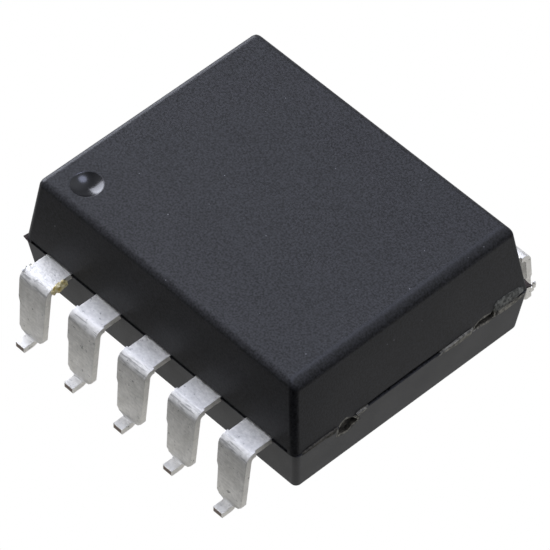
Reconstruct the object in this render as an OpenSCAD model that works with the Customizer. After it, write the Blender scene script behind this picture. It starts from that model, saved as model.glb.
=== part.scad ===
// Optocoupler in an extra-wide moulded package with two rows of formed gull-wing leads.
// The origin is on the seating plane of the feet, below the middle of the package.
// X runs along the lead rows, Y across them, Z up, and all sizes are in millimetres.
// Leads 1 to 5 leave the -Y side from -X to +X, and leads 6 to 10 leave the +Y side from +X to -X.

/* [Package] */
// Length of the upper half along the lead rows, at the parting plane
body_length = 13.7; // [13:0.1:16]
// Width of the upper half across the lead rows, at the parting plane
body_width = 11.03; // [10:0.01:14]
// Height of the upper half above the parting plane
upper_height = 3.11; // [2.6:0.01:4]
// Depth of the lower half below the parting plane
lower_height = 2.05; // [1.8:0.01:3]
// How far the lower half stands out past each end face of the upper half
end_ledge = 0.07; // [0.02:0.01:0.12]
// How far the lower half stands out past each lead side of the upper half
side_ledge = 0.03; // [0.01:0.01:0.06]
// Gap between the underside and the circuit board
standoff = 0.9; // [0.6:0.05:1.5]
// Draft of the two end faces, in degrees
end_draft = 8; // [3:0.5:10]
// Draft of the two faces that the leads leave, in degrees
side_draft = 7; // [3:0.5:10]
// Radius of the upright corners
corner_radius = 0.22; // [0.1:0.02:0.4]
// Radius of the edge round the top face
top_edge_radius = 0.3; // [0.15:0.01:0.4]
// Radius of the edge round the underside
bottom_edge_radius = 0.12; // [0.06:0.01:0.2]
// Offset between the two mould halves along the lead rows
mould_shift_x = 0.015; // [0:0.005:0.1]
// Offset between the two mould halves across the lead rows
mould_shift_y = 0.025; // [0:0.005:0.06]

/* [Package marks] */
// Diameter of the pin-one dimple
dimple_diameter = 1.2; // [0.8:0.05:1.6]
// Depth of the pin-one dimple
dimple_depth = 0.16; // [0.08:0.01:0.3]
// Distance from the edge of the top face to the middle of the dimple
dimple_inset = 1.04; // [0.9:0.02:1.6]
// Distance between the two break-out pits in an end face
pit_spacing = 6.44; // [5:0.02:8]
// Width of a break-out pit
pit_width = 0.9; // [0.6:0.05:1.2]
// Height of a break-out pit
pit_height = 0.38; // [0.25:0.01:0.45]
// Depth of a break-out pit
pit_depth = 0.25; // [0.2:0.01:0.4]
// Offset of the pair of pits from the middle of the end face
pit_offset = 0.22; // [-0.3:0.02:0.3]
// How far the floor of the first pit lies below the lead-frame strip
near_pit_drop = 0.25; // [0:0.01:0.4]
// How far the floor of the second pit lies below the lead-frame strip
far_pit_drop = 0.05; // [0:0.01:0.4]
// Length of the gate remnant, where the runner was broken off one end face
gate_length = 1.58; // [1:0.02:2]
// Height of the gate remnant at its taller end
gate_height = 0.36; // [0.2:0.02:0.5]
// How far the gate remnant stands out past the foot of the end face
gate_proud = 0.02; // [0.01:0.01:0.05]
// Distance from the lead side of the package to the gate remnant
gate_inset = 0.1; // [0.06:0.02:0.5]
// Thickness of the moulding flash at the parting plane
flash_thickness = 0.04; // [0.02:0.01:0.06]
// How far the flash reaches past the corner beside the first lead
front_flash_reach = 0.05; // [0.03:0.01:0.12]
// How far the flash reaches past the opposite corner
back_flash_reach = 0.09; // [0.03:0.01:0.2]
// Diameter of an ejector-pin mark in the underside
ejector_diameter = 2; // [1.2:0.1:3]
// Depth of an ejector-pin mark
ejector_depth = 0.05; // [0.03:0.01:0.1]
// Distance between the ejector-pin marks
ejector_spacing = 8; // [6:0.1:9]

/* [Leads] */
// Distance between neighbouring leads
lead_pitch = 2.54; // [2.4:0.01:2.6]
// How far the lead-frame strip stands above the parting plane
strip_rise = 0.05; // [0:0.01:0.1]
// Thickness of the lead-frame strip
lead_thickness = 0.254; // [0.2:0.002:0.3]
// Width of a lead where it leaves the package
shoulder_width = 1.27; // [1.1:0.01:1.35]
// Width across the cut stubs of the dam bar
dambar_width = 1.41; // [1.38:0.01:1.6]
// Width of the leg just below the dam-bar stubs
leg_width = 1.27; // [1.2:0.01:1.35]
// Width of the leg at its lower corners
leg_end_width = 1.22; // [1:0.01:1.3]
// Width of the foot
foot_width = 0.46; // [0.35:0.01:0.6]
// Length of the shoulder from the package to the bend
shoulder_length = 0.845; // [0.7:0.005:1.4]
// Length of the dam-bar stubs before the bend
dambar_lead = 0.06; // [0.02:0.01:0.3]
// Height of the dam-bar stubs below the top of the lead
dambar_drop = 1.25; // [0.8:0.05:1.5]
// Height over which the stub on the sharp side fades into the leg
dambar_fade = 0.2; // [0.05:0.01:0.4]
// Inside radius of the shoulder bend
shoulder_bend_radius = 0.15; // [0.1:0.01:0.25]
// Lean of the leg from upright, in degrees
leg_lean = 5; // [0:0.5:10]
// Height of the leg's lower corners above the board
leg_corner_height = 0.43; // [0.41:0.01:0.6]
// Size of the cut across a lower corner of the leg
leg_corner_cut = 0.12; // [0.05:0.01:0.14]
// Height of the neck, where the leg has narrowed to the foot, above the top of the foot
neck_rise = 0.02; // [0.01:0.01:0.06]
// Inside radius of the foot bend
foot_bend_radius = 0.12; // [0.08:0.01:0.2]
// Length of the flat sole of the foot
foot_length = 0.4; // [0.3:0.02:0.8]

/* [Lead frame inside] */
// Length that the full width of the shoulder goes on inside the package
shoulder_root = 0.4; // [0.2:0.02:0.6]
// Length of the anchor at the inner end of an unused lead
anchor_length = 1.5; // [1.2:0.05:2]
// Diameter of the locking hole in an anchor
lock_hole = 0.5; // [0.3:0.05:0.7]
// Width of the fingers that run to the chips
finger_width = 0.9; // [0.7:0.05:1.1]
// Length of a finger before it steps up or down
finger_run = 1.2; // [0.8:0.05:1.6]
// Steepness of the steps in the fingers, in degrees
step_angle = 60; // [45:1:70]
// Drop of the detector paddle below the lead-frame plane
detector_drop = 1.03; // [0.8:0.01:1.1]
// Side of the two chip paddles
paddle_side = 2.7; // [2.5:0.05:2.9]
// Distance from the package centre to the tips of the detector's supply and output fingers
land_offset = 1.1; // [0.9:0.05:1.5]

/* [Chips] */
// Gap between the faces of the two chips
coupling_gap = 2.06; // [1.8:0.02:2.2]
// Side of the emitter chip
emitter_side = 0.4; // [0.3:0.02:0.5]
// Thickness of the emitter chip
emitter_thickness = 0.2; // [0.15:0.01:0.25]
// Length of the detector chip along the lead rows
detector_length = 1.5; // [1.2:0.05:1.6]
// Width of the detector chip across the lead rows
detector_width = 1.3; // [1.1:0.05:1.4]
// Thickness of the detector chip
detector_thickness = 0.3; // [0.2:0.01:0.4]
// Thickness of the adhesive under a chip
bond_thickness = 0.03; // [0.02:0.01:0.05]
// How far the adhesive spreads past a chip
bond_margin = 0.05; // [0.02:0.01:0.1]
// Radius of the light guide where it meets the paddles
guide_end_radius = 1.25; // [1.15:0.01:1.25]
// Radius of the light guide at its waist
guide_waist_radius = 0.85; // [0.6:0.01:1]
// Diameter of the bond wires
wire_diameter = 0.04; // [0.03:0.005:0.06]
// Diameter of the ball at each end of a bond wire
ball_diameter = 0.1; // [0.09:0.005:0.12]
// Height of the ball at each end of a bond wire
ball_height = 0.05; // [0.04:0.005:0.06]
// Rise of a bond wire above its two ends
wire_loop = 0.3; // [0.15:0.01:0.35]
// Distance from a bond to the edge of the pad it is on
bond_inset = 0.2; // [0.15:0.01:0.25]

/* [Hidden] */
$fn = 48;
HULL_FN = 32;
BEND_STEPS = 10;
WIRE_SIDES = 12;
LEADS_PER_ROW = 5;
LEAD_COUNT = 2 * LEADS_PER_ROW;
EMITTER_LAND_LEAD = 2;
EMITTER_LEAD = 3;
OUTPUT_LEAD = 7;
DETECTOR_LEAD = 8;
SUPPLY_LEAD = 9;

// Upright land at the mould edge of each package half, and the overshoot of a cut past a face
mould_lip = 0.01;
overshoot = 1;
// How far the tip of a flash fin leans out past the end face, as a share of its reach
flash_lean = 0.4;

half_length = body_length / 2;
half_width = body_width / 2;
upper_foot = [half_length, half_width];
lower_foot = upper_foot + [end_ledge, side_ledge];
parting_z = standoff + lower_height;
top_z = parting_z + upper_height;
lower_shift = [-mould_shift_x, mould_shift_y, 0];

// Lead-frame plane: the parting plane runs through the thickness of the strip
lead_top = parting_z + strip_rise;
lead_base = lead_top - lead_thickness;

// Side profile of a lead outside the package: outward distance from the package centre, and height
shoulder_bend_outer = shoulder_bend_radius + lead_thickness;
leg_outward = [cos(leg_lean), sin(leg_lean)];
leg_downward = [sin(leg_lean), -cos(leg_lean)];
shoulder_centre = [half_width + shoulder_length, lead_base - shoulder_bend_radius];
foot_centre_z = lead_thickness + foot_bend_radius;
leg_offset = shoulder_bend_outer + foot_bend_radius;
leg_length = (shoulder_centre.y - foot_centre_z + leg_offset * leg_outward.y) / cos(leg_lean);
foot_centre = shoulder_centre + leg_offset * leg_outward + leg_length * leg_downward;
foot_tip = foot_centre.x + foot_length;

// Heights of the paddles, from the detector paddle up across the coupling gap
detector_paddle_top = lead_top - detector_drop;
detector_face = detector_paddle_top + bond_thickness + detector_thickness;
emitter_face = detector_face + coupling_gap;
emitter_paddle_base = emitter_face + emitter_thickness + bond_thickness;
emitter_rise = emitter_paddle_base - lead_base;
guide_height = emitter_paddle_base - detector_paddle_top;

// Bond places: chip side first, then the finger or paddle that the wire ends on
emitter_pad = [-emitter_side / 4, 0, emitter_face];
emitter_land_pad = [lead_x(EMITTER_LAND_LEAD) + bond_inset, 0, emitter_paddle_base];
output_pad = [detector_length / 2 - bond_inset, detector_width / 2 - bond_inset, detector_face];
supply_pad = [-output_pad.x, output_pad.y, detector_face];
output_land_pad = [lead_x(OUTPUT_LEAD) - bond_inset, land_offset + bond_inset, lead_top];
supply_land_pad = [lead_x(SUPPLY_LEAD) + bond_inset, land_offset + bond_inset, lead_top];
ground_pad = [0, bond_inset - detector_width / 2, detector_face];
ground_land_pad = [0, bond_inset - paddle_side / 2, detector_paddle_top];

BODY_COLOUR = "#34343a";
TIN_COLOUR = "#c3c6ca";
EMITTER_COLOUR = "#8a3b46";
DETECTOR_COLOUR = "#5a6478";
ADHESIVE_COLOUR = "#b4b4b0";
SILICONE_COLOUR = "#e6ecf2";
GOLD_COLOUR = "#d9a441";

// One drafted half of the package, standing on the parting plane and growing upwards.
// The foot gives half its length and half its width there.
module package_half(foot, height, edge_radius) {
    edge_z = height - edge_radius;
    edge_x = foot.x - edge_z * tan(end_draft) - edge_radius / cos(end_draft);
    edge_y = foot.y - edge_z * tan(side_draft) - edge_radius / cos(side_draft);
    hull()
        for (side_x = [-1, 1], side_y = [-1, 1]) {
            translate([side_x * (foot.x - corner_radius), side_y * (foot.y - corner_radius), 0])
                cylinder(r = corner_radius, h = mould_lip, $fn = HULL_FN);
            translate([side_x * edge_x, side_y * edge_y, edge_z])
                sphere(r = edge_radius, $fn = HULL_FN);
        }
}

// Concave spherical dimple in the top face, in line with the first lead
module pin_one_dimple() {
    sphere_radius = (pow(dimple_diameter / 2, 2) + pow(dimple_depth, 2)) / (2 * dimple_depth);
    top_edge_y = half_width - upper_height * tan(side_draft);
    translate([lead_x(1), dimple_inset - top_edge_y, top_z - dimple_depth + sphere_radius])
        sphere(r = sphere_radius);
}

// Arched pits that broken-off tie bars of the lead frame left in each end face
module break_out_pits() {
    arch_radius = (pow(pit_width / 2, 2) + pow(pit_height, 2)) / (2 * pit_height);
    near_pit = [half_length - pit_depth, pit_offset - pit_spacing / 2, lead_base - near_pit_drop];
    far_pit = [half_length - pit_depth, pit_offset + pit_spacing / 2, lead_base - far_pit_drop];
    for (end = [0, 180], pit = [near_pit, far_pit])
        rotate([0, 0, end])
            translate(pit)
                rotate([90, 0, 90])
                    linear_extrude(pit_depth + overshoot)
                        intersection() {
                            translate([0, pit_height - arch_radius])
                                circle(r = arch_radius);
                            translate([-pit_width / 2, 0])
                                square([pit_width, pit_height]);
                        }
}

// Low strip on the foot of the upper half, where the runner of the mould was broken off
module gate_remnant() {
    translate([half_length - corner_radius, half_width - gate_inset, parting_z])
        rotate([90, 0, 90])
            linear_extrude(corner_radius + gate_proud)
                polygon([[0, 0], [0, gate_height / 2], [-gate_length, gate_height], [-gate_length, 0]]);
}

// Thin fins of moulding compound that squeezed out at two opposite corners of the parting plane
module corner_flash() {
    root = 2 * corner_radius;
    translate(lower_shift)
        for (corner = [[0, back_flash_reach], [180, front_flash_reach]])
            rotate([0, 0, corner[0]])
                translate([lower_foot.x, lower_foot.y, parting_z - flash_thickness])
                    linear_extrude(flash_thickness)
                        polygon([
                            [-root, -corner_radius],
                            [-corner_radius, -root],
                            [0, -root],
                            [flash_lean * corner[1], corner[1]],
                            [-root, 0]
                        ]);
}

module ejector_marks() {
    for (side_x = [-1, 1])
        translate([side_x * ejector_spacing / 2, 0, standoff - overshoot])
            cylinder(d = ejector_diameter, h = overshoot + ejector_depth);
}

module body() {
    color(BODY_COLOUR)
        difference() {
            union() {
                translate([0, 0, parting_z])
                    package_half(upper_foot, upper_height, top_edge_radius);
                translate([0, 0, parting_z] + lower_shift)
                    mirror([0, 0, 1])
                        package_half(lower_foot, lower_height, bottom_edge_radius);
                gate_remnant();
                corner_flash();
            }
            pin_one_dimple();
            break_out_pits();
            ejector_marks();
            for (number = [1 : LEAD_COUNT])
                lead(number);
            guide_column();
            bond_wires();
        }
}

// Place of a lead along X: the first row counts up, the second row counts back
function lead_x(number) =
    let (column = number <= LEADS_PER_ROW ? number : LEAD_COUNT + 1 - number)
    (column - (LEADS_PER_ROW + 1) / 2) * lead_pitch;

// Puts a lead drawn for the -Y row at its place in either row
module on_row(number) {
    translate([lead_x(number), 0, 0])
        rotate([0, 0, number <= LEADS_PER_ROW ? 0 : 180])
            children();
}

// Points along an arc, from one direction to another
function arc(centre, radius, from_angle, to_angle) =
    [for (step = [0 : BEND_STEPS])
        let (angle = from_angle + (to_angle - from_angle) * step / BEND_STEPS)
        centre + radius * [cos(angle), sin(angle)]];

// Inner end of a lead: how far it reaches into the package, and how far it steps up on the way
function inner_end(number) =
    number == EMITTER_LEAD ? [half_width + paddle_side / 2, emitter_rise]
    : number == EMITTER_LAND_LEAD ? [half_width + finger_width / 2, emitter_rise]
    : number == DETECTOR_LEAD ? [half_width + paddle_side / 2, -detector_drop]
    : number == OUTPUT_LEAD || number == SUPPLY_LEAD ? [half_width - land_offset, 0]
    : [anchor_length, 0];

// Lower face of the inner end, from the package face inwards.
// A lift of one strip thickness gives the upper face.
function inner_line(reach, rise, lift) =
    let (
        side = lift > 0 ? sign(rise) : 0,
        kink = side * lead_thickness * tan(step_angle / 2),
        step_end = finger_run + abs(rise) / tan(step_angle),
        step = rise == 0 ? [] : [[finger_run - kink, 0], [step_end - kink, rise]]
    )
    [for (point = concat(step, [[reach, rise]])) [half_width - point.x, lead_base + point.y + lift]];

// Whole strip from the side, with the package centre and the seating plane at zero
module lead_profile(number) {
    end = inner_end(number);
    upper_line = inner_line(end[0], end[1], lead_thickness);
    lower_line = inner_line(end[0], end[1], 0);
    last = len(upper_line) - 1;
    foot_angle = 180 + leg_lean;
    polygon(concat(
        [for (index = [last : -1 : 0]) upper_line[index]],
        arc(shoulder_centre, shoulder_bend_outer, 90, leg_lean),
        arc(foot_centre, foot_bend_radius, foot_angle, 270),
        [[foot_tip, lead_thickness], [foot_tip, 0]],
        arc(foot_centre, foot_bend_radius + lead_thickness, 270, foot_angle),
        arc(shoulder_centre, shoulder_bend_radius, leg_lean, 90),
        lower_line
    ));
}

// Width of the leg and foot seen from outside: dam-bar stubs at the top, then the leg, then the neck.
// The trimming tool left a sharp stub on the left and one that fades down the whole leg on the right.
module front_outline() {
    stub_end = lead_top - dambar_drop;
    neck_height = lead_thickness + neck_rise;
    lower_side = [
        [leg_end_width / 2, leg_corner_height],
        [leg_end_width / 2 - leg_corner_cut, leg_corner_height - leg_corner_cut],
        [foot_width / 2, neck_height],
        [foot_width / 2, 0]
    ];
    last = len(lower_side) - 1;
    polygon(concat(
        [[dambar_width / 2, lead_top], [dambar_width / 2, shoulder_centre.y]],
        lower_side,
        [for (index = [last : -1 : 0]) [-lower_side[index].x, lower_side[index].y]],
        [[-leg_width / 2, stub_end - dambar_fade]],
        [[-dambar_width / 2, stub_end], [-dambar_width / 2, lead_top]]
    ));
}

// Width of the shoulder and the inner end seen from above, with the package centre at zero
module plan_outline(number) {
    translate([-shoulder_width / 2, -half_width - shoulder_length])
        square([shoulder_width, shoulder_length + shoulder_root]);
    if (number == EMITTER_LEAD || number == DETECTOR_LEAD) {
        translate([-finger_width / 2, -half_width])
            square([finger_width, half_width]);
        square(paddle_side, center = true);
    } else if (number == EMITTER_LAND_LEAD) {
        translate([-finger_width / 2, -half_width])
            square([finger_width, half_width + finger_width / 2]);
    } else if (number == OUTPUT_LEAD || number == SUPPLY_LEAD) {
        translate([-finger_width / 2, -half_width])
            square([finger_width, half_width - land_offset]);
    } else {
        difference() {
            translate([-shoulder_width / 2, -half_width])
                square([shoulder_width, anchor_length]);
            translate([0, anchor_length / 2 - half_width])
                circle(d = lock_hole);
        }
    }
}

// A stamped and formed lead: the bent strip, trimmed to its width from the front and from above
module lead(number) {
    color(TIN_COLOUR)
        on_row(number)
            intersection() {
                rotate([90, 0, -90])
                    linear_extrude(2 * paddle_side, center = true)
                        lead_profile(number);
                union() {
                    translate([0, dambar_lead - half_width - shoulder_length, 0])
                        rotate([90, 0, 0])
                            linear_extrude(foot_tip)
                                front_outline();
                    linear_extrude(top_z)
                        plan_outline(number);
                }
            }
}

// Chip on its adhesive: a plain block, centred on the paddles
module centred_block(size, base) {
    translate([-size.x / 2, -size.y / 2, base])
        cube(size);
}

module emitter_die() {
    color(EMITTER_COLOUR)
        centred_block([emitter_side, emitter_side, emitter_thickness], emitter_face);
}

module emitter_bond() {
    spread = emitter_side + 2 * bond_margin;
    color(ADHESIVE_COLOUR)
        centred_block([spread, spread, bond_thickness], emitter_face + emitter_thickness);
}

module detector_die() {
    size = [detector_length, detector_width, detector_thickness];
    color(DETECTOR_COLOUR)
        centred_block(size, detector_paddle_top + bond_thickness);
}

module detector_bond() {
    spread = [detector_length + 2 * bond_margin, detector_width + 2 * bond_margin, bond_thickness];
    color(ADHESIVE_COLOUR)
        centred_block(spread, detector_paddle_top);
}

// Waisted column of silicone from paddle to paddle, with the chips still in it
module guide_column() {
    sag = guide_end_radius - guide_waist_radius;
    waist_arc = (pow(guide_height / 2, 2) + pow(sag, 2)) / (2 * sag);
    translate([0, 0, detector_paddle_top])
        rotate_extrude()
            difference() {
                square([guide_end_radius, guide_height]);
                translate([guide_waist_radius + waist_arc, guide_height / 2])
                    circle(r = waist_arc);
            }
}

module light_guide() {
    color(SILICONE_COLOUR)
        difference() {
            guide_column();
            emitter_die();
            emitter_bond();
            detector_die();
            detector_bond();
            bond_wires();
        }
}

// Gold wire in one arc between two bonds, each with its ball; side is 1 on faces that look up
module bond_wire(start, end, side) {
    ball_centre = [0, 0, side * ball_height / 2];
    span = end - start;
    flat_span = norm([span.x, span.y]);
    chord = norm(span);
    arc_radius = (pow(chord / 2, 2) + pow(wire_loop, 2)) / (2 * wire_loop);
    half_angle = asin(chord / 2 / arc_radius);
    color(GOLD_COLOUR) {
        for (point = [start, end])
            translate(point + ball_centre)
                cylinder(d = ball_diameter, h = ball_height, center = true, $fn = WIRE_SIDES);
        translate((start + end) / 2 + ball_centre)
            rotate([0, -atan2(span.z, flat_span), atan2(span.y, span.x)])
                rotate([side * 90, 0, 0])
                    translate([0, wire_loop - arc_radius, 0])
                        rotate([0, 0, 90 - half_angle])
                            rotate_extrude(angle = 2 * half_angle)
                                translate([arc_radius, 0])
                                    circle(d = wire_diameter, $fn = WIRE_SIDES);
    }
}

module emitter_wire() {
    bond_wire(emitter_pad, emitter_land_pad, -1);
}

module supply_wire() {
    bond_wire(supply_pad, supply_land_pad, 1);
}

module output_wire() {
    bond_wire(output_pad, output_land_pad, 1);
}

module ground_wire() {
    bond_wire(ground_pad, ground_land_pad, 1);
}

module bond_wires() {
    emitter_wire();
    supply_wire();
    output_wire();
    ground_wire();
}

body();
for (number = [1 : LEAD_COUNT])
    lead(number);
emitter_die();
emitter_bond();
detector_die();
detector_bond();
light_guide();
emitter_wire();
supply_wire();
output_wire();
ground_wire();
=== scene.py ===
import math
from contextlib import contextmanager

import bmesh
import bpy
from mathutils import Matrix, Vector


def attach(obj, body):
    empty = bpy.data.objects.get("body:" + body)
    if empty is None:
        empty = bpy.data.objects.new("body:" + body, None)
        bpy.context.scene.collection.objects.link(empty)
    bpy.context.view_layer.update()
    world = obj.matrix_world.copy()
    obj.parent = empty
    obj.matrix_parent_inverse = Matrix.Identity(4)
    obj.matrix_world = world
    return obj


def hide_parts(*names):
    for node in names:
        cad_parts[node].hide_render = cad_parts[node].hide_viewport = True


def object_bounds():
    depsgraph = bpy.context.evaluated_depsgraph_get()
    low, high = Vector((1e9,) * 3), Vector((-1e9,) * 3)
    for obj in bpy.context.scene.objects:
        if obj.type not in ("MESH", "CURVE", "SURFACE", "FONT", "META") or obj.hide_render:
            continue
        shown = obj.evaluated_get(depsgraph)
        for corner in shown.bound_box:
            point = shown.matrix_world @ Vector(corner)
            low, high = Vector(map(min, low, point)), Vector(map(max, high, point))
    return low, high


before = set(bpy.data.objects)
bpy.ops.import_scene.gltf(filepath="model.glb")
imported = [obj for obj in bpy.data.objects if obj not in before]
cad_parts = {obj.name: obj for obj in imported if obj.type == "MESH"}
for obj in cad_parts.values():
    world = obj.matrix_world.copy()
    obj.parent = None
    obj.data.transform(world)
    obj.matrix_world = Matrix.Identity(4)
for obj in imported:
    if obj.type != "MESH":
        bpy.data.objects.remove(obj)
cad_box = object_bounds()

# Pieces are modelled in millimetres and shrunk to metres when they are done.
MM = 0.001
# How closely a face or an edge is picked by its place, and how well it has to line up with an axis
PICK = 0.01
ALIGNED = 0.9

# The package, as the part's source has it
PARTING_Z = 2.95
TOP_Z = cad_box[1][2] / MM
UNDERSIDE_Z = 0.9
END_DRAFT = math.radians(8)
SIDE_DRAFT = math.radians(7)
# Lowest and highest corner of each mould half at the parting plane: the lower cavity is a little larger.
UPPER_HALF = (Vector((-6.857, -5.55)), Vector((6.865, 5.506)))
LOWER_HALF = (Vector((-6.935, -5.52)), Vector((6.905, 5.57)))
# The two halves lap by this much at the parting plane, so that they fuse.
LAP = 0.01
LEAD_COUNT = 10
CHIP_NODES = ["emitter_die", "emitter_bond", "detector_die", "detector_bond", "light_guide"]


# Modelling

# A copied CAD node is merged at this distance, and faces that turn less than this become one.
MERGE = 0.0005
FLAT = math.radians(0.5)


def make_active(piece):
    bpy.ops.object.select_all(action="DESELECT")
    piece.select_set(True)
    bpy.context.view_layer.objects.active = piece


def start(primitive, name, **place):
    """Adds a primitive at its size and place, with the place in its mesh."""
    bpy.ops.object.select_all(action="DESELECT")
    primitive(**place)
    piece = bpy.context.object
    piece.name = piece.data.name = name
    bpy.ops.object.transform_apply(location=True, rotation=True, scale=True)
    return piece


@contextmanager
def editing(piece):
    make_active(piece)
    bpy.ops.object.mode_set(mode="EDIT")
    yield
    bpy.ops.object.mode_set(mode="OBJECT")


def choose(piece, kind, test):
    """Selects the vertices, edges or faces that pass a test, in edit mode."""
    bpy.ops.mesh.select_mode(type=kind)
    bpy.ops.mesh.select_all(action="DESELECT")
    shape = bmesh.from_edit_mesh(piece.data)
    parts = {"VERT": shape.verts, "EDGE": shape.edges, "FACE": shape.faces}[kind]
    for part in parts:
        if test(part):
            part.select_set(True)
    shape.select_flush_mode()
    bmesh.update_edit_mesh(piece.data)


def middle(edge):
    return (edge.verts[0].co + edge.verts[1].co) / 2


def along(edge):
    return (edge.verts[1].co - edge.verts[0].co).normalized()


def apply_modifier(piece, kind, **settings):
    modifier = piece.modifiers.new(kind.lower(), kind)
    for name, value in settings.items():
        setattr(modifier, name, value)
    make_active(piece)
    bpy.ops.object.modifier_apply(modifier=modifier.name)


def combine(piece, tool, operation):
    """Fuses a tool with the piece, or cuts it out. Cut faces take the tool's material."""
    apply_modifier(
        piece, "BOOLEAN", object=tool, operation=operation, solver="EXACT", material_mode="TRANSFER"
    )
    bpy.data.objects.remove(tool, do_unlink=True)


def copy_node(name, copy_name):
    """Copy of a CAD node in millimetres, merged into one closed mesh of flat faces."""
    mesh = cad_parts[name].data.copy()
    mesh.name = copy_name
    mesh.materials.clear()
    piece = bpy.data.objects.new(copy_name, mesh)
    bpy.context.scene.collection.objects.link(piece)
    make_active(piece)
    piece.scale = (1 / MM, 1 / MM, 1 / MM)
    bpy.ops.object.transform_apply(scale=True)
    if mesh.has_custom_normals:
        bpy.ops.mesh.customdata_custom_splitnormals_clear()
    with editing(piece):
        bpy.ops.mesh.select_all(action="SELECT")
        bpy.ops.mesh.remove_doubles(threshold=MERGE)
        bpy.ops.mesh.dissolve_limited(angle_limit=FLAT)
        bpy.ops.mesh.mark_sharp(clear=True)
    return piece


def slab(name, outline, depth, material):
    """A flat piece of any outline, drawn as a ring of points and pulled out along a vector."""
    piece = start(
        bpy.ops.mesh.primitive_circle_add, name, vertices=len(outline), radius=1, fill_type="NGON",
    )
    for vertex, point in zip(piece.data.vertices, outline):
        vertex.co = point
    with editing(piece):
        bpy.ops.mesh.select_all(action="SELECT")
        bpy.ops.mesh.extrude_region_move(TRANSFORM_OT_translate={"value": depth})
        bpy.ops.mesh.select_all(action="SELECT")
        bpy.ops.mesh.normals_make_consistent(inside=False)
    piece.data.materials.append(material)
    return piece


def roughen(piece, cuts, crumb, height):
    """Breaks up a piece's faces: extra cuts, pushed in and out by a cloud of this crumb size."""
    with editing(piece):
        bpy.ops.mesh.select_all(action="SELECT")
        bpy.ops.mesh.quads_convert_to_tris()
        bpy.ops.mesh.subdivide(number_cuts=cuts)
    cloud = bpy.data.textures.new("crumbs", "CLOUDS")
    cloud.noise_scale = crumb
    apply_modifier(
        piece, "DISPLACE", texture=cloud, texture_coords="LOCAL", strength=height, mid_level=0.5
    )
    bpy.data.textures.remove(cloud)
    return piece


def settle(piece, slot, *nodes, smooth_below=40):
    """Shades a finished piece, shrinks it to metres and puts it on the frame."""
    make_active(piece)
    bpy.ops.object.shade_smooth_by_angle(angle=math.radians(smooth_below))
    apply_modifier(piece, "WEIGHTED_NORMAL", keep_sharp=True)
    make_active(piece)
    piece.scale = (MM, MM, MM)
    bpy.ops.object.transform_apply(scale=True)
    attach(piece, "root")
    if nodes:
        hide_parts(*nodes)
    return piece


# Materials

def linear(colour):
    """sRGB hex to linear red, green, blue, alpha."""
    parts = [int(colour[i:i + 2], 16) / 255 for i in (1, 3, 5)]
    return [p / 12.92 if p <= 0.04045 else ((p + 0.055) / 1.055) ** 2.4 for p in parts] + [1]


def per_mm(size):
    """Pattern scale, in a scene in metres, that gives features of this many millimetres."""
    return 1 / (size * MM)


def add(tree, kind, inputs=None, **settings):
    """Adds a node with its settings. An input goes by name, or by number where a node's names repeat,
    and is a value or another node's output."""
    node = tree.nodes.new(kind)
    for name, value in settings.items():
        setattr(node, name, value)
    for name, value in (inputs or {}).items():
        if isinstance(value, bpy.types.NodeSocket):
            tree.links.new(value, node.inputs[name])
        else:
            node.inputs[name].default_value = value
    return node


def new_material(name):
    """A material with its node tree, its shader and its object coordinates."""
    material = bpy.data.materials.new(name)
    material.use_nodes = True
    tree = material.node_tree
    tree.nodes.clear()
    shader = add(tree, "ShaderNodeBsdfPrincipled")
    add(tree, "ShaderNodeOutputMaterial", {"Surface": shader.outputs["BSDF"]})
    place = add(tree, "ShaderNodeTexCoord").outputs["Object"]
    return material, tree, shader, place


def moulded_epoxy():
    """Black epoxy filled with silica, moulded in a spark-eroded mould: a dull, finely grained dark grey."""
    material, tree, shader, place = new_material("moulded_epoxy")
    # The real grit is about 0.015 mm; it is drawn coarser so that it shows.
    grain = add(tree, "ShaderNodeTexNoise", {"Vector": place, "Scale": per_mm(0.075), "Detail": 3.0})
    cloud = add(tree, "ShaderNodeTexNoise", {"Vector": place, "Scale": per_mm(1.6), "Detail": 2.0})
    coarse = add(tree, "ShaderNodeMapRange", {
        "Value": grain.outputs["Fac"], "From Min": 0.35, "From Max": 0.65,
    })
    tone = add(tree, "ShaderNodeMix", {
        0: coarse.outputs[0], 6: linear("#030303"), 7: linear("#2a2a2d"),
    }, data_type="RGBA")
    # Single bright grains of filler lie bare in one cell out of ten, and cells are 0.3 mm wide.
    cell = add(tree, "ShaderNodeTexVoronoi", {"Vector": place, "Scale": per_mm(0.3)})
    chosen = add(tree, "ShaderNodeSeparateColor", {"Color": cell.outputs["Color"]})
    lucky = add(tree, "ShaderNodeMath", {0: chosen.outputs["Red"], 1: 0.9}, operation="GREATER_THAN")
    near = add(tree, "ShaderNodeMapRange", {
        "Value": cell.outputs["Distance"], "From Min": 0.09, "From Max": 0.05,
    })
    speck = add(tree, "ShaderNodeMath", {0: lucky.outputs[0], 1: near.outputs[0]}, operation="MULTIPLY")
    colour = add(tree, "ShaderNodeMix", {
        0: speck.outputs[0], 6: tone.outputs[2], 7: linear("#77777a"),
    }, data_type="RGBA")
    tree.links.new(colour.outputs[2], shader.inputs["Base Color"])
    mottle = add(tree, "ShaderNodeMix", {0: 0.7, 2: cloud.outputs["Fac"], 3: grain.outputs["Fac"]})
    gloss = add(tree, "ShaderNodeMapRange", {
        "Value": mottle.outputs[0], "From Min": 0.3, "From Max": 0.7, "To Min": 0.36, "To Max": 0.54,
    })
    tree.links.new(gloss.outputs[0], shader.inputs["Roughness"])
    shader.inputs["IOR"].default_value = 1.39
    relief = add(tree, "ShaderNodeBump", {
        "Height": grain.outputs["Fac"], "Strength": 0.5, "Distance": 0.01 * MM,
    })
    tree.links.new(relief.outputs[0], shader.inputs["Normal"])
    return material


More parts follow.
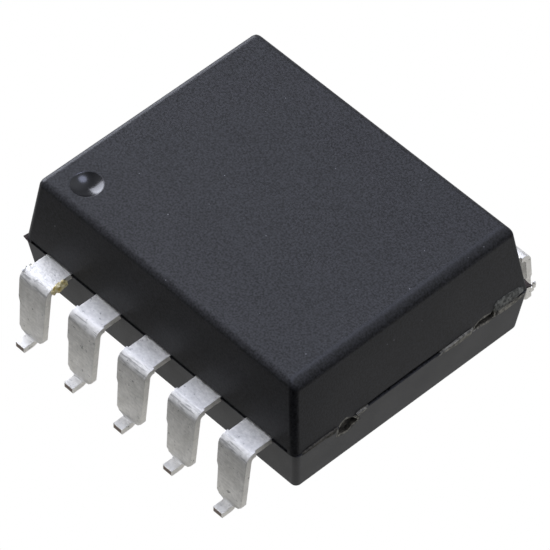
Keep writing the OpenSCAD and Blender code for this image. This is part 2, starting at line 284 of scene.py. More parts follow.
def polished_epoxy():
    """The same epoxy where a polished mould pin pressed the dimple: smooth, so it mirrors the lamps."""
    material, tree, shader, place = new_material("polished_epoxy")
    ripple = add(tree, "ShaderNodeTexNoise", {"Vector": place, "Scale": per_mm(0.25), "Detail": 2.0})
    tone = add(tree, "ShaderNodeMix", {
        0: ripple.outputs["Fac"], 6: linear("#0b0b0c"), 7: linear("#121214"),
    }, data_type="RGBA")
    tree.links.new(tone.outputs[2], shader.inputs["Base Color"])
    shader.inputs["Roughness"].default_value = 0.2
    shader.inputs["IOR"].default_value = 1.44
    relief = add(tree, "ShaderNodeBump", {
        "Height": ripple.outputs["Fac"], "Strength": 0.3, "Distance": 0.004 * MM,
    })
    tree.links.new(relief.outputs[0], shader.inputs["Normal"])
    return material


def broken_epoxy(name, dark, pale):
    """Epoxy broken through its filler: rough, matt, and lighter where grains and resin are laid bare."""
    material, tree, shader, place = new_material(name)
    crumb = add(tree, "ShaderNodeTexNoise", {"Vector": place, "Scale": per_mm(0.12), "Detail": 5.0})
    lit = add(tree, "ShaderNodeMapRange", {
        "Value": crumb.outputs["Fac"], "From Min": 0.4, "From Max": 0.65,
    })
    tone = add(tree, "ShaderNodeMix", {
        0: lit.outputs[0], 6: linear(dark), 7: linear(pale),
    }, data_type="RGBA")
    tree.links.new(tone.outputs[2], shader.inputs["Base Color"])
    shader.inputs["Roughness"].default_value = 0.95
    shader.inputs["IOR"].default_value = 1.4
    relief = add(tree, "ShaderNodeBump", {
        "Height": crumb.outputs["Fac"], "Strength": 0.6, "Distance": 0.012 * MM,
    })
    tree.links.new(relief.outputs[0], shader.inputs["Normal"])
    return material


def dull_tin():
    """Tin plated over copper alloy: pale and slightly warm, with a granular satin face and rubbed bends."""
    material, tree, shader, place = new_material("dull_tin")
    # The plating's crystals are about 0.01 mm; they are drawn coarser so that they show.
    grain = add(tree, "ShaderNodeTexNoise", {"Vector": place, "Scale": per_mm(0.13), "Detail": 4.0})
    stain = add(tree, "ShaderNodeTexNoise", {"Vector": place, "Scale": per_mm(0.5), "Detail": 3.0})
    mottle = add(tree, "ShaderNodeMix", {0: 0.55, 2: stain.outputs["Fac"], 3: grain.outputs["Fac"]})
    clean = add(tree, "ShaderNodeMapRange", {
        "Value": mottle.outputs[0], "From Min": 0.35, "From Max": 0.65,
    })
    tone = add(tree, "ShaderNodeMix", {
        0: clean.outputs[0], 6: linear("#dedcd6"), 7: linear("#f9f7f2"),
    }, data_type="RGBA")
    # Forming rubbed fine lines across the lead where it bends, which is where its face slopes.
    normal = add(tree, "ShaderNodeNewGeometry").outputs["Normal"]
    facing = add(tree, "ShaderNodeSeparateXYZ", {"Vector": normal})
    slope = add(tree, "ShaderNodeMath", {
        0: facing.outputs["Y"], 1: facing.outputs["Z"],
    }, operation="MULTIPLY")
    bend = add(tree, "ShaderNodeMath", {0: slope.outputs[0]}, operation="ABSOLUTE")
    drawn_out = add(tree, "ShaderNodeMapping", {"Vector": place, "Scale": (0.12, 1.0, 1.0)})
    rub = add(tree, "ShaderNodeTexNoise", {
        "Vector": drawn_out.outputs[0], "Scale": per_mm(0.07), "Detail": 2.0,
    })
    worn = add(tree, "ShaderNodeMapRange", {
        "Value": rub.outputs["Fac"], "From Min": 0.52, "From Max": 0.62, "To Max": 1.1,
    })
    rubbed = add(tree, "ShaderNodeMath", {0: worn.outputs[0], 1: bend.outputs[0]}, operation="MULTIPLY")
    # Dark pits in the plating, in small ragged specks
    fleck = add(tree, "ShaderNodeTexNoise", {
        "Vector": place, "Scale": per_mm(0.16), "Detail": 2.0, "Roughness": 0.6,
    })
    pit = add(tree, "ShaderNodeMapRange", {
        "Value": fleck.outputs["Fac"], "From Min": 0.65, "From Max": 0.74, "To Max": 0.7,
    })
    dark = add(tree, "ShaderNodeMath", {0: pit.outputs[0], 1: rubbed.outputs[0]}, operation="MAXIMUM")
    colour = add(tree, "ShaderNodeMix", {
        0: dark.outputs[0], 6: tone.outputs[2], 7: linear("#8b8a86"),
    }, data_type="RGBA")
    tree.links.new(colour.outputs[2], shader.inputs["Base Color"])
    shader.inputs["Metallic"].default_value = 1.0
    gloss = add(tree, "ShaderNodeMapRange", {
        "Value": grain.outputs["Fac"], "From Min": 0.3, "From Max": 0.7, "To Min": 0.5, "To Max": 0.74,
    })
    tree.links.new(gloss.outputs[0], shader.inputs["Roughness"])
    relief = add(tree, "ShaderNodeBump", {
        "Height": grain.outputs["Fac"], "Strength": 0.7, "Distance": 0.02 * MM,
    })
    tree.links.new(relief.outputs[0], shader.inputs["Normal"])
    return material


def bare_copper():
    """Copper alloy laid bare where the lead was cut from its strip: dull brown, mottled by the shear."""
    material, tree, shader, place = new_material("bare_copper")
    mottle = add(tree, "ShaderNodeTexNoise", {"Vector": place, "Scale": per_mm(0.08), "Detail": 3.0})
    tone = add(tree, "ShaderNodeMix", {
        0: mottle.outputs["Fac"], 6: linear("#54463f"), 7: linear("#94877f"),
    }, data_type="RGBA")
    tree.links.new(tone.outputs[2], shader.inputs["Base Color"])
    shader.inputs["Metallic"].default_value = 1.0
    shader.inputs["Roughness"].default_value = 0.45
    return material


def inner_material(name, dark, pale, grain_mm, roughness, metallic=0.0, transmission=0.0):
    """Finish of a piece sealed in the package: two tones of its material in a fine grain."""
    material, tree, shader, place = new_material(name)
    grain = add(tree, "ShaderNodeTexNoise", {"Vector": place, "Scale": per_mm(grain_mm), "Detail": 3.0})
    tone = add(tree, "ShaderNodeMix", {
        0: grain.outputs["Fac"], 6: linear(dark), 7: linear(pale),
    }, data_type="RGBA")
    tree.links.new(tone.outputs[2], shader.inputs["Base Color"])
    shader.inputs["Roughness"].default_value = roughness
    shader.inputs["Metallic"].default_value = metallic
    shader.inputs["Transmission Weight"].default_value = transmission
    return material


def thin_flash():
    """Epoxy squeezed so thin that its resin shows: dark brown and dull, mottled where it tore."""
    material, tree, shader, place = new_material("thin_flash")
    tear = add(tree, "ShaderNodeTexNoise", {"Vector": place, "Scale": per_mm(0.15), "Detail": 4.0})
    tone = add(tree, "ShaderNodeMix", {
        0: tear.outputs["Fac"], 6: linear("#0e0a09"), 7: linear("#3a2c27"),
    }, data_type="RGBA")
    tree.links.new(tone.outputs[2], shader.inputs["Base Color"])
    shader.inputs["Roughness"].default_value = 0.85
    shader.inputs["IOR"].default_value = 1.5
    relief = add(tree, "ShaderNodeBump", {
        "Height": tear.outputs["Fac"], "Strength": 0.6, "Distance": 0.02 * MM,
    })
    tree.links.new(relief.outputs[0], shader.inputs["Normal"])
    return material


def set_resin(name, deep, pale):
    """Resin that bled out of the compound and set on the lead: a glassy crust of deep and pale crumbs."""
    material, tree, shader, place = new_material(name)
    crumb = add(tree, "ShaderNodeTexNoise", {"Vector": place, "Scale": per_mm(0.18), "Detail": 4.0})
    rich = add(tree, "ShaderNodeMapRange", {
        "Value": crumb.outputs["Fac"], "From Min": 0.35, "From Max": 0.62,
    })
    tone = add(tree, "ShaderNodeMix", {
        0: rich.outputs[0], 6: linear(deep), 7: linear(pale),
    }, data_type="RGBA")
    tree.links.new(tone.outputs[2], shader.inputs["Base Color"])
    shader.inputs["Roughness"].default_value = 0.3
    shader.inputs["IOR"].default_value = 1.55
    relief = add(tree, "ShaderNodeBump", {
        "Height": crumb.outputs["Fac"], "Strength": 0.6, "Distance": 0.03 * MM,
    })
    tree.links.new(relief.outputs[0], shader.inputs["Normal"])
    return material


EPOXY = moulded_epoxy()
FLASH = thin_flash()
# The amber crust's pale yellow is partly its own colour and partly painted light, standing in for light that
# shines through it from behind.
AMBER_AND_BACKLIGHT = set_resin("amber_resin_and_backlight", "#c9b052", "#fff4c4")
CLEAR = set_resin("clear_resin", "#e4dfc6", "#ffffff")
POLISHED = polished_epoxy()
# Fresh breaks are the palest and scuffs lie between; the darker tone of the deep holes is partly torn epoxy
# and partly painted shade.
FRACTURED = broken_epoxy("fractured_epoxy", "#5a5853", "#98958b")
TORN_AND_SHADE = broken_epoxy("torn_epoxy_and_shade", "#363430", "#5e5a52")
SCUFFED = broken_epoxy("scuffed_epoxy", "#43433f", "#7a7a73")
TIN = dull_tin()
COPPER = bare_copper()
# Cast gel: clear and glossy
SILICONE = inner_material("clear_silicone", "#dfe6ea", "#f3f7f8", 0.4, 0.1, transmission=0.9)
# Sawn wafer: dark red-grey, half bright
GALLIUM_ARSENIDE = inner_material("gallium_arsenide", "#4a2f35", "#6e4a4c", 0.05, 0.3)
# Flakes of silver in cured epoxy: a grey satin
ADHESIVE = inner_material("silver_filled_adhesive", "#8f8f8a", "#c9c8c2", 0.03, 0.55, metallic=0.7)
# Polished wafer: blue-grey and bright
SILICON = inner_material("silicon", "#3d4654", "#66748a", 0.08, 0.25)
# Drawn wire: warm yellow and bright
GOLD = inner_material("gold", "#c9952f", "#e6bd5c", 0.05, 0.25, metallic=1.0)


# Package

# How far the edges are rounded: the top rims of the sides, of the +X end and of the -X end, the upright
# corners, of which one came out sharp, and below the parting line the uprights, the foot and the ledge
SIDE_RIM = 0.26
NEAR_END_RIM = 0.43
FAR_END_RIM = 0.28
UPPER_UPRIGHT = 0.26
SHARP_UPRIGHT = 0.1
LOWER_UPRIGHT = 0.22
BOTTOM_RIM = 0.105
PARTING_RIM = 0.02
TOP_RIM_SEGMENTS = 8
UPRIGHT_SEGMENTS = 6
EDGE_SEGMENTS = 4
# The chips touch each other face to face; slightly larger pockets run into one clean hollow.
POCKET_EASE = 0.004


def package_half(name, base_z, far_z, corners):
    """One drafted half of the package: a block whose far face is drawn in by the draft of its sides."""
    height = abs(far_z - base_z)
    size, centre = corners[1] - corners[0], (corners[0] + corners[1]) / 2
    half = start(
        bpy.ops.mesh.primitive_cube_add, name, size=1,
        location=(centre.x, centre.y, (base_z + far_z) / 2), scale=(size.x, size.y, height),
    )
    with editing(half):
        choose(half, "FACE", lambda face: abs(face.calc_center_median().z - far_z) < PICK)
        bpy.ops.transform.resize(
            value=(
                1 - 2 * height * math.tan(END_DRAFT) / size.x,
                1 - 2 * height * math.tan(SIDE_DRAFT) / size.y,
                1,
            ),
            center_override=(centre.x, centre.y, far_z),
        )
    half.data.materials.append(EPOXY)
    return half


def is_upright(edge):
    return abs(along(edge).z) > ALIGNED


def rim_width(edge):
    """How far an edge of the upper half is rounded. The end rims are the roundest; the foot stays sharp."""
    at = middle(edge)
    if is_upright(edge):
        return SHARP_UPRIGHT if at.x > 0 and at.y > 0 else UPPER_UPRIGHT
    if at.z < TOP_Z - PICK:
        return 0
    if abs(along(edge).y) > ALIGNED:
        return NEAR_END_RIM if at.x > 0 else FAR_END_RIM
    return SIDE_RIM


def upper_half():
    """The upper half, all its rims rounded at once, each to its own width."""
    half = package_half("package", PARTING_Z - LAP, TOP_Z, UPPER_HALF)
    with editing(half):
        shape = bmesh.from_edit_mesh(half.data)
        weight = shape.edges.layers.float.new("bevel_weight_edge")
        for edge in shape.edges:
            edge[weight] = rim_width(edge) / NEAR_END_RIM
        bmesh.update_edit_mesh(half.data)
    apply_modifier(half, "BEVEL", width=NEAR_END_RIM, segments=TOP_RIM_SEGMENTS, limit_method="WEIGHT")
    return half


def lower_half():
    """The lower half, with rounded uprights, foot and ledge."""
    half = package_half("lower_half", PARTING_Z - LAP / 2, UNDERSIDE_Z, LOWER_HALF)
    with editing(half):
        choose(half, "EDGE", is_upright)
        bpy.ops.mesh.bevel(offset=LOWER_UPRIGHT, segments=UPRIGHT_SEGMENTS, affect="EDGES")
        choose(half, "EDGE", lambda edge: max(v.co.z for v in edge.verts) < UNDERSIDE_Z + PICK)
        bpy.ops.mesh.bevel(offset=BOTTOM_RIM, segments=EDGE_SEGMENTS, affect="EDGES")
        choose(half, "EDGE", lambda edge: min(v.co.z for v in edge.verts) > PARTING_Z - LAP)
        bpy.ops.mesh.bevel(offset=PARTING_RIM, segments=EDGE_SEGMENTS, affect="EDGES")
    return half


def package():
    """Both halves as one moulding, with its dimple, marks and breaks, and hollows for the leads and chips."""
    moulding = upper_half()
    combine(moulding, lower_half(), "UNION")
    combine(moulding, dimple_pin(), "DIFFERENCE")
    with editing(moulding):
        choose(moulding, "EDGE", rings_the_dimple)
        bpy.ops.mesh.bevel(offset=DIMPLE_LIP, segments=3, affect="EDGES")
    for tool in ejector_pins() + crease_tools() + break_out_tools():
        combine(moulding, tool, "DIFFERENCE")
    for name in [f"lead_{number}" for number in range(1, LEAD_COUNT + 1)] + CHIP_NODES:
        tool = copy_node(name, "pocket")
        if name in CHIP_NODES:
            with editing(tool):
                bpy.ops.mesh.select_all(action="SELECT")
                bpy.ops.transform.shrink_fatten(value=POCKET_EASE)
        tool.data.materials.append(EPOXY)
        combine(moulding, tool, "DIFFERENCE")
    return settle(moulding, "epoxy", "body")


# The pin-one dimple, and how far the pin that presses it stands out of the top
DIMPLE = Vector((-5.08, -4.094, TOP_Z))
DIMPLE_RADIUS = 0.6
DIMPLE_DEPTH = 0.16
DIMPLE_LIP = 0.035
DIMPLE_FACETS = 96
PIN_STUB = 0.2


def rings_the_dimple(edge):
    return all(
        abs((v.co - DIMPLE).length - DIMPLE_RADIUS) < PICK and abs(v.co.z - TOP_Z) < PICK / 10
        for v in edge.verts
    )


def dimple_pin():
    """The round-nosed mould pin that presses the pin-one dimple."""
    nose_radius = (DIMPLE_RADIUS ** 2 + DIMPLE_DEPTH ** 2) / (2 * DIMPLE_DEPTH)
    pin = start(
        bpy.ops.mesh.primitive_uv_sphere_add, "dimple_pin", radius=nose_radius,
        segments=DIMPLE_FACETS, ring_count=DIMPLE_FACETS,
        location=DIMPLE + Vector((0, 0, nose_radius - DIMPLE_DEPTH)),
    )
    with editing(pin):
        bpy.ops.mesh.select_all(action="SELECT")
        bpy.ops.mesh.bisect(
            plane_co=(0, 0, TOP_Z + PIN_STUB), plane_no=(0, 0, 1), clear_outer=True, use_fill=True
        )
    pin.data.materials.append(POLISHED)
    return pin


# The pins that push the package out of the mould, and the depth of the mark they leave
EJECTOR_X = 4
EJECTOR_RADIUS = 1.0
EJECTOR_LENGTH = 0.55
EJECTOR_MARK = 0.05
EJECTOR_ROUND = 0.02


def ejector_pins():
    """Two flat-nosed pins that push the package out of the mould and mark its underside."""
    pins = []
    for x in (-EJECTOR_X, EJECTOR_X):
        pin = start(
            bpy.ops.mesh.primitive_cylinder_add, "ejector_pin", vertices=64,
            radius=EJECTOR_RADIUS, depth=EJECTOR_LENGTH,
            location=(x, 0, UNDERSIDE_Z + EJECTOR_MARK - EJECTOR_LENGTH / 2),
        )
        with editing(pin):
            choose(pin, "EDGE", lambda edge: min(v.co.z for v in edge.verts) > UNDERSIDE_Z)
            bpy.ops.mesh.bevel(offset=EJECTOR_ROUND, segments=2, affect="EDGES")
        pin.data.materials.append(EPOXY)
        pins.append(pin)
    return pins


def turned(points, turn):
    """The points as they are for a turn of 1, and turned half round the package for a turn of -1."""
    return [Vector((turn * point.x, turn * point.y, point.z)) for point in points]


# The crease that flash left above the parting line when it broke away: its depth in the wall, how far its
# floor leans in, how far the tool that cuts it stands out of the wall, and where it runs
CREASE_DEPTH = 0.07
CREASE_LEAN = 0.01
CREASE_CLEAR = 0.1
CREASE_FOOT = PARTING_Z + 0.01
SIDE_CREASE_HEIGHT = 0.2
SIDE_CREASE_END = 6.5
END_CREASE = [
    (-2.75, CREASE_FOOT), (-2.5, 3.03), (-1.6, 3.07), (0, 3.09), (1.2, 3.07), (1.95, CREASE_FOOT),
]
END_CREASE_REACH = 0.3


def crease_tools():
    """Blocks that cut the crease: along both sides with leads, and between the pits of each end."""
    floor, mouth = UPPER_HALF[0].y + CREASE_DEPTH, UPPER_HALF[0].y - CREASE_CLEAR
    section = (
        (floor, CREASE_FOOT), (floor + CREASE_LEAN, CREASE_FOOT + SIDE_CREASE_HEIGHT / 2),
        (mouth, CREASE_FOOT + SIDE_CREASE_HEIGHT), (mouth, CREASE_FOOT),
    )
    side = [Vector((-SIDE_CREASE_END, y, z)) for y, z in section]
    end = [Vector((UPPER_HALF[1].x - CREASE_DEPTH, y, z)) for y, z in END_CREASE]
    tools = []
    for turn in (1, -1):
        for outline, length in ((side, 2 * SIDE_CREASE_END), (end, END_CREASE_REACH)):
            tools.append(slab("crease", turned(outline, turn), (turn * length, 0, 0), EPOXY))
    return tools


# Outlines of the pits that broken-off tie bars left in the +X end, as (y, z), where their floor lies, the
# broken rim of their mouth, and how far the tools that cut both reach out
NEAR_PIT = [
    (-3.48, 2.47), (-3.48, 2.8), (-3.3, 2.97), (-3.08, 3.0), (-2.86, 2.94),
    (-2.66, 2.7), (-2.58, 2.56), (-2.84, 2.5), (-3.05, 2.36), (-3.27, 2.41),
]
FAR_PIT = [
    (2.93, 2.84), (3.0, 2.97), (3.23, 3.05), (3.46, 3.03), (3.72, 3.02), (3.84, 3.14),
    (3.93, 3.08), (3.88, 2.78), (3.66, 2.76), (3.44, 2.8), (3.15, 2.83),
]
PIT_FLOOR_X = 6.66
PIT_REACH = 0.8
PIT_RIM_DEPTH = 0.02
PIT_RIM_WIDTH = 0.12
PIT_RIM_REACH = 0.3


def end_wall(z):
    """Where the drafted +X end face lies at a height."""
    foot = UPPER_HALF[1].x if z > PARTING_Z else LOWER_HALF[1].x
    return foot - abs(z - PARTING_Z) * math.tan(END_DRAFT)


def break_out_tools():
    """Blocks that cut the tie-bar pits: two in the +X end, and the same two turned to the -X end.

    A shallow ragged block breaks the pale rim of each mouth, and a deep one cuts the hole, whose darker
    finish is partly painted shade."""
    tools = []
    for turn in (1, -1):
        # The hidden end is the cleaner one: its rims are less pale.
        rim_finish = FRACTURED if turn > 0 else SCUFFED
        for pit in (NEAR_PIT, FAR_PIT):
            y_middle, z_middle = (sum(values) / len(pit) for values in zip(*pit))
            rim = []
            for y, z in pit:
                out = Vector((0, y - y_middle, z - z_middle)).normalized() * PIT_RIM_WIDTH
                rim.append(Vector((end_wall(z) - PIT_RIM_DEPTH, y, z)) + out)
            hole = [Vector((PIT_FLOOR_X, y, z)) for y, z in pit]
            mouth = slab("pit_rim", turned(rim, turn), (turn * PIT_RIM_REACH, 0, 0), rim_finish)
            tools.append(roughen(mouth, cuts=2, crumb=0.1, height=0.03))
            # The deep hole's darker torn finish is partly painted shade in the recess.
            deep = slab("pit", turned(hole, turn), (turn * PIT_REACH, 0, 0), TORN_AND_SHADE)
            tools.append(roughen(deep, cuts=3, crumb=0.12, height=0.04))
    return tools


# Leads

# Worn rounding of the stamped edges, where it starts outside the package, and the smallest angle it rounds
EDGE_ROUND = 0.02
PACKAGE_REACH = 5.56
STAMPED_ANGLE = math.radians(25)
# Where the cut ends of the feet lie, how squarely they face out, unlike the rounding beside them, and the
# border of tin that is left round the bare copper
FOOT_TIP = 7.48
CUT_FACING = 0.95
TIN_BORDER = 0.015


def is_outer_edge(edge):
    """An edge of the bare lead outside the package, between two faces that meet at an angle."""
    outside = min(abs(v.co.y) for v in edge.verts) > PACKAGE_REACH
    return outside and len(edge.link_faces) == 2 and edge.calc_face_angle(0) > STAMPED_ANGLE


def is_cut_end(face):
    at_tip = abs(face.calc_center_median().y) > FOOT_TIP - PICK / 2
    return at_tip and abs(face.normal.y) > CUT_FACING


def plated_lead(number):
    """A formed lead with the worn edges of a stamping and its cut end bare."""
    node = f"lead_{number}"
    lead = copy_node(node, f"plated_lead_{number}")
    lead.data.materials.append(TIN)
    lead.data.materials.append(COPPER)
    row = -1 if number <= LEAD_COUNT / 2 else 1
    with editing(lead):
        # The package face cuts the lead's long edges in two, so that rounding starts outside it.
        bpy.ops.mesh.select_all(action="SELECT")
        bpy.ops.mesh.bisect(plane_co=(0, row * (PACKAGE_REACH + PICK), 0), plane_no=(0, 1, 0))
        choose(lead, "EDGE", is_outer_edge)
        bpy.ops.mesh.bevel(offset=EDGE_ROUND, segments=2, affect="EDGES", clamp_overlap=False)
        choose(lead, "FACE", is_cut_end)
        bpy.ops.mesh.inset(thickness=TIN_BORDER)
        lead.active_material_index = 1
        bpy.ops.object.material_slot_assign()
    return settle(lead, "tin_plate", node, smooth_below=30)


# Flash, residues and the inner pieces

# Outlines on the +X end, as (y, z): flash broken away beside the pits, the bead of it along the parting line
# and the scar of the runner
FLASH_PATCHES = [
    [(-2.66, 2.8), (-2.7, 2.99), (-2.1, 2.97), (-2.3, 2.83)],
    [(1.0, 2.88), (1.3, 2.97), (2.1, 3.03), (2.9, 3.04), (2.86, 2.74), (2.4, 2.66), (1.8, 2.76)],
    [(3.99, 2.72), (3.98, 3.02), (4.6, 3.0), (5.36, 2.93), (5.4, 2.84), (5.0, 2.68), (4.4, 2.62)],
]
FLASH_BEAD = [
    (-5.3, 2.9), (-5.2, 3.0), (-4.2, 3.02), (-3.5, 3.0), (-3.56, 2.74), (-3.8, 2.72), (-4.1, 2.86),
]
GATE_SCAR = [
    (3.88, 2.98), (3.84, 3.28), (4.0, 3.44), (4.6, 3.41), (5.1, 3.33), (5.36, 3.18), (5.3, 3.04), (4.6, 2.99),
]
# A crust's hold in the wall, how its outer face is drawn in, and how far up it fills the parting ledge
CRUST_ROOT = 0.08
CRUST_TAPER = (1, 0.9, 0.75)
LEDGE_FILL = 0.1
# Outlines of the fins at two corners, as (x, y), with their lower face and thickness
FRONT_FIN = [(-6.94, -5.52), (-6.62, -5.57), (-6.5, -5.45), (-6.75, -5.15), (-6.9, -5.19)]
BACK_FIN = [(6.4, 5.45), (6.75, 5.2), (6.82, 5.5), (6.87, 5.73), (6.66, 5.7), (6.48, 5.745)]
FIN_FOOT = PARTING_Z - 0.03
FIN_THICKNESS = 0.045


def scuff(name, outline, proud, material):
    """A rough crust on the +X end that stands a little proud of the wall and thins out at its edge.

    Just above the parting line it fills the corner over the ledge of the lower half."""
    ring = []
    for y, z in outline:
        on_ledge = 0 < z - PARTING_Z < LEDGE_FILL
        ring.append(Vector((end_wall(PARTING_Z if on_ledge else z) - CRUST_ROOT, y, z)))
    crust = slab(name, ring, (CRUST_ROOT + proud, 0, 0), material)
    with editing(crust):
        choose(crust, "FACE", lambda face: face.normal.x > ALIGNED)
        bpy.ops.transform.resize(value=CRUST_TAPER)
    return settle(roughen(crust, cuts=5, crumb=0.16, height=0.024), "epoxy")


def corner_fin(name, outline):
    """A thin fin of moulding compound that squeezed out between the mould halves at a corner."""
    fin = slab(name, [Vector((x, y, FIN_FOOT)) for x, y in outline], (0, 0, FIN_THICKNESS), FLASH)
    return settle(roughen(fin, cuts=2, crumb=0.12, height=0.03), "epoxy")


def lump(name, slot, material, centre, size, crumb, height):
    """A crystalline crumb of residue: a ball of small facets, squashed and broken up."""
    piece = start(
        bpy.ops.mesh.primitive_ico_sphere_add, name, subdivisions=3, radius=1, location=centre, scale=size
    )
    piece.data.materials.append(material)
    roughen(piece, cuts=1, crumb=crumb, height=height)
    return settle(piece, slot, smooth_below=25)


def silicone_column():
    """The clear column that carries light from one chip to the other, in one closed skin."""
    column = copy_node("light_guide", "silicone_column")
    column.data.materials.append(SILICONE)
    return settle(column, "silicone", "light_guide")


package()
silicone_column()
for number in range(1, LEAD_COUNT + 1):
    plated_lead(number)
for number, outline in enumerate(FLASH_PATCHES, 1):
    scuff(f"parting_flash_{number}", outline, proud=0.02, material=FRACTURED)
scuff("flash_bead", FLASH_BEAD, proud=0.01, material=TORN_AND_SHADE)
scuff("gate_scar", GATE_SCAR, proud=0.025, material=SCUFFED)
corner_fin("front_fin", FRONT_FIN)
corner_fin("back_fin", BACK_FIN)
lump(
    "amber_residue", "epoxy", AMBER_AND_BACKLIGHT,
    centre=(-4.4, -6.14, 2.83), size=(0.12, 0.4, 0.21), crumb=0.12, height=0.14,
)
lump(
    "pale_residue", "epoxy", CLEAR,
    centre=(-5.77, -6.4, 2.92), size=(0.07, 0.24, 0.08), crumb=0.12, height=0.1,
)
lump(
    "trimmed_burr", "tin_plate", TIN,
    centre=(5.735, 7.0, 1.06), size=(0.08, 0.08, 0.16), crumb=0.12, height=0.05,
)

for finish, names in (
    (GALLIUM_ARSENIDE, ["emitter_die"]),
    (ADHESIVE, ["emitter_bond", "detector_bond"]),
    (SILICON, ["detector_die"]),
    (GOLD, ["emitter_wire", "supply_wire", "output_wire", "ground_wire"]),
):
    for name in names:
        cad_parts[name].data.materials.clear()
        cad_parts[name].data.materials.append(finish)


# Stage

def direction(azimuth, elevation):
    """Unit vector; azimuth turns from +X towards +Y, in degrees."""
    a, e = math.radians(azimuth), math.radians(elevation)
    return Vector((math.cos(a) * math.cos(e), math.sin(a) * math.cos(e), math.sin(e)))


def softbox(name, azimuth, elevation, distance, size, radiance, tint, shape="RECTANGLE"):
    """A lamp that faces the object, with the brightness of its panel instead of its power."""
    lamp = bpy.data.lights.new(name, "AREA")
    lamp.shape = shape
    lamp.size, lamp.size_y = size
    area = size[0] * size[1] * (math.pi / 4 if shape == "DISK" else 1)
    lamp.energy = radiance * math.pi * area
    lamp.color = tint
    panel = bpy.data.objects.new(name, lamp)
    bpy.context.scene.collection.objects.link(panel)
    towards = direction(azimuth, elevation)
    panel.location = towards * distance
    panel.rotation_euler = (-towards).to_track_quat("-Z", "Y").to_euler()
    panel.visible_camera = False


# Glow of the room all round, and brighter patches of it: azimuth, elevation, spread in degrees, extra glow
ROOM_TINT = (0.88, 0.91, 1.0, 1)
ROOM_GLOW = 0.14
ROOM_PATCHES = [(137, 45, 60, 0.27), (60, 50, 60, 0.85), (-130, 25, 60, 0.5)]
WHITE = (1, 1, 1, 1)


def studio_room():
    """Dim room with brighter patches; the camera itself sees plain white."""
    world = bpy.data.worlds.new("studio_room")
    world.use_nodes = True
    tree = world.node_tree
    tree.nodes.clear()
    place = add(tree, "ShaderNodeTexCoord").outputs["Generated"]
    strength = ROOM_GLOW
    for azimuth, elevation, spread, glow in ROOM_PATCHES:
        facing = add(tree, "ShaderNodeVectorMath", {
            0: place, 1: direction(azimuth, elevation),
        }, operation="DOT_PRODUCT")
        patch = add(tree, "ShaderNodeMapRange", {
            "Value": facing.outputs["Value"], "From Min": math.cos(math.radians(spread)),
            "From Max": math.cos(math.radians(spread / 3)), "To Min": 0.0, "To Max": glow,
        }, interpolation_type="SMOOTHSTEP")
        strength = add(tree, "ShaderNodeMath", {0: strength, 1: patch.outputs[0]}, operation="ADD").outputs[0]
    room = add(tree, "ShaderNodeBackground", {"Color": ROOM_TINT, "Strength": strength})
    white = add(tree, "ShaderNodeBackground", {"Color": WHITE, "Strength": 1.0})
    ray = add(tree, "ShaderNodeLightPath")
    both = add(tree, "ShaderNodeMixShader", {
        0: ray.outputs["Is Camera Ray"], 1: room.outputs[0], 2: white.outputs[0],
    })
    add(tree, "ShaderNodeOutputWorld", {"Surface": both.outputs[0]})
    bpy.context.scene.world = world


def glowing(name, strength_from=None):
    """A stage material that only glows, evenly or by a falloff over the table."""
    material = bpy.data.materials.new(name)
    material.use_nodes = True
    tree = material.node_tree
    tree.nodes.clear()
    glow = add(tree, "ShaderNodeEmission", {"Color": WHITE, "Strength": 1.0})
    if strength_from:
        tree.links.new(strength_from(tree), glow.inputs["Strength"])
    add(tree, "ShaderNodeOutputMaterial", {"Surface": glow.outputs[0]})
    return material


TABLE_GLOW = 0.62
# The table darkens towards this azimuth.
TABLE_FRONT = -42.6
# A shaded strip of the table, which the side with the near leads mirrors
DARK_BAND_Y = -9.85
# Where the package shades the table under itself: half its length and width
SHADOW_HALF = Vector((6.6, 5.3))


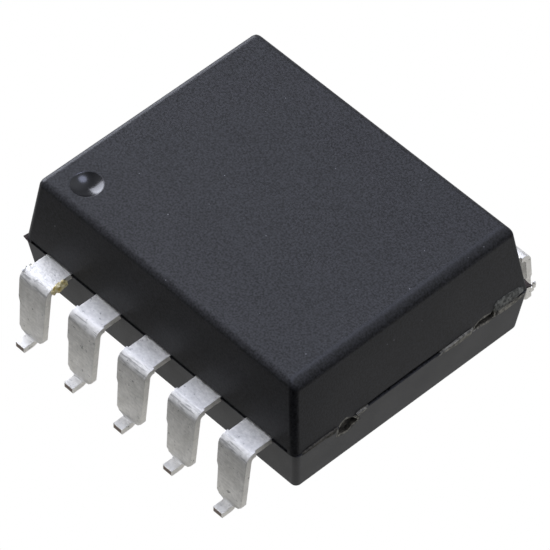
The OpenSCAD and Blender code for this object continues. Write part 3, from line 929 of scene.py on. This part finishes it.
def table_falloff(tree):
    """Brightness of the lit table: strongest round the object, dark in front of it and under the package."""
    place = add(tree, "ShaderNodeTexCoord").outputs["Object"]
    axes = add(tree, "ShaderNodeSeparateXYZ", {"Vector": place})
    to_front = add(tree, "ShaderNodeVectorMath", {
        0: place, 1: direction(TABLE_FRONT, 0),
    }, operation="DOT_PRODUCT")
    from_band = add(tree, "ShaderNodeMath", {
        0: axes.outputs["Y"], 1: DARK_BAND_Y * MM,
    }, operation="SUBTRACT")
    off_band = add(tree, "ShaderNodeMath", {0: from_band.outputs[0]}, operation="ABSOLUTE")
    # How far a place lies outside the package's shadow, which is a rectangle
    past = []
    for axis, half_mm in (("X", SHADOW_HALF.x), ("Y", SHADOW_HALF.y)):
        off_middle = add(tree, "ShaderNodeMath", {0: axes.outputs[axis]}, operation="ABSOLUTE")
        past.append(add(tree, "ShaderNodeMath", {
            0: off_middle.outputs[0], 1: half_mm * MM,
        }, operation="SUBTRACT"))
    outside = add(tree, "ShaderNodeMath", {
        0: past[0].outputs[0], 1: past[1].outputs[0],
    }, operation="MAXIMUM")
    fall = None
    # A measure over the table, where the light starts and ends to fall along it, and the share left there
    for measure, start_mm, end_mm, share in (
        (to_front.outputs["Value"], 9.6, 12.6, 0.0),
        (outside.outputs[0], 0.0, -1.0, 0.1),
        (axes.outputs["Y"], -5.6, -6.6, 0.88),
        (off_band.outputs[0], 1.35, 0.6, 0.04),
        (axes.outputs["Y"], -9.7, -11.0, 0.38),
        (axes.outputs["X"], 9.0, 24.0, 0.4),
    ):
        part = add(tree, "ShaderNodeMapRange", {
            "Value": measure, "From Min": start_mm * MM, "From Max": end_mm * MM,
            "To Min": 1.0, "To Max": share,
        }, interpolation_type="SMOOTHSTEP")
        if fall is None:
            fall = part
        else:
            fall = add(tree, "ShaderNodeMath", {
                0: fall.outputs[0], 1: part.outputs[0],
            }, operation="MULTIPLY")
    return add(tree, "ShaderNodeMath", {0: fall.outputs[0], 1: TABLE_GLOW}, operation="MULTIPLY").outputs[0]


def stage_disc(name, radius, z, material, seen_by_camera):
    """A disc under the object that either the camera sees or the light and the mirroring faces do."""
    disc = start(
        bpy.ops.mesh.primitive_circle_add, name, vertices=64, radius=radius, fill_type="NGON",
        location=(0, 0, z),
    )
    disc.data.materials.append(material)
    disc.visible_camera = seen_by_camera
    for rays in ("visible_diffuse", "visible_glossy", "visible_transmission", "visible_shadow"):
        setattr(disc, rays, not seen_by_camera)


softbox(
    "overhead_softbox", azimuth=97, elevation=76, distance=0.25, size=(0.1, 0.1),
    radiance=7.5, tint=(0.67, 0.73, 1.0), shape="DISK",
)
softbox(
    "left_softbox", azimuth=171, elevation=22, distance=0.3, size=(0.2, 0.19),
    radiance=8.7, tint=(0.85, 0.88, 1.0),
)
studio_room()
stage_disc("floor", radius=1.0, z=-0.02 * MM, material=glowing("pale_floor"), seen_by_camera=True)
stage_disc(
    "table", radius=0.1, z=-0.01 * MM, material=glowing("lit_table", table_falloff), seen_by_camera=False
)

# The camera, as fitted to the photograph
camera = bpy.data.objects.new("camera", bpy.data.cameras.new("camera"))
bpy.context.scene.collection.objects.link(camera)
camera.data.lens = 381.599
camera.data.sensor_width = 36
camera.data.clip_start = 0.005
camera.matrix_world = (
    Matrix.Translation(Vector((97.99, -90.25, 155.024)) * MM)
    @ Matrix.Rotation(math.radians(47.36189), 4, "Z")
    @ Matrix.Rotation(math.radians(41.09719), 4, "X")
    @ Matrix.Rotation(math.radians(-0.62939), 4, "Z")
)
bpy.context.scene.camera = camera
bpy.context.scene.view_settings.view_transform = "Standard"
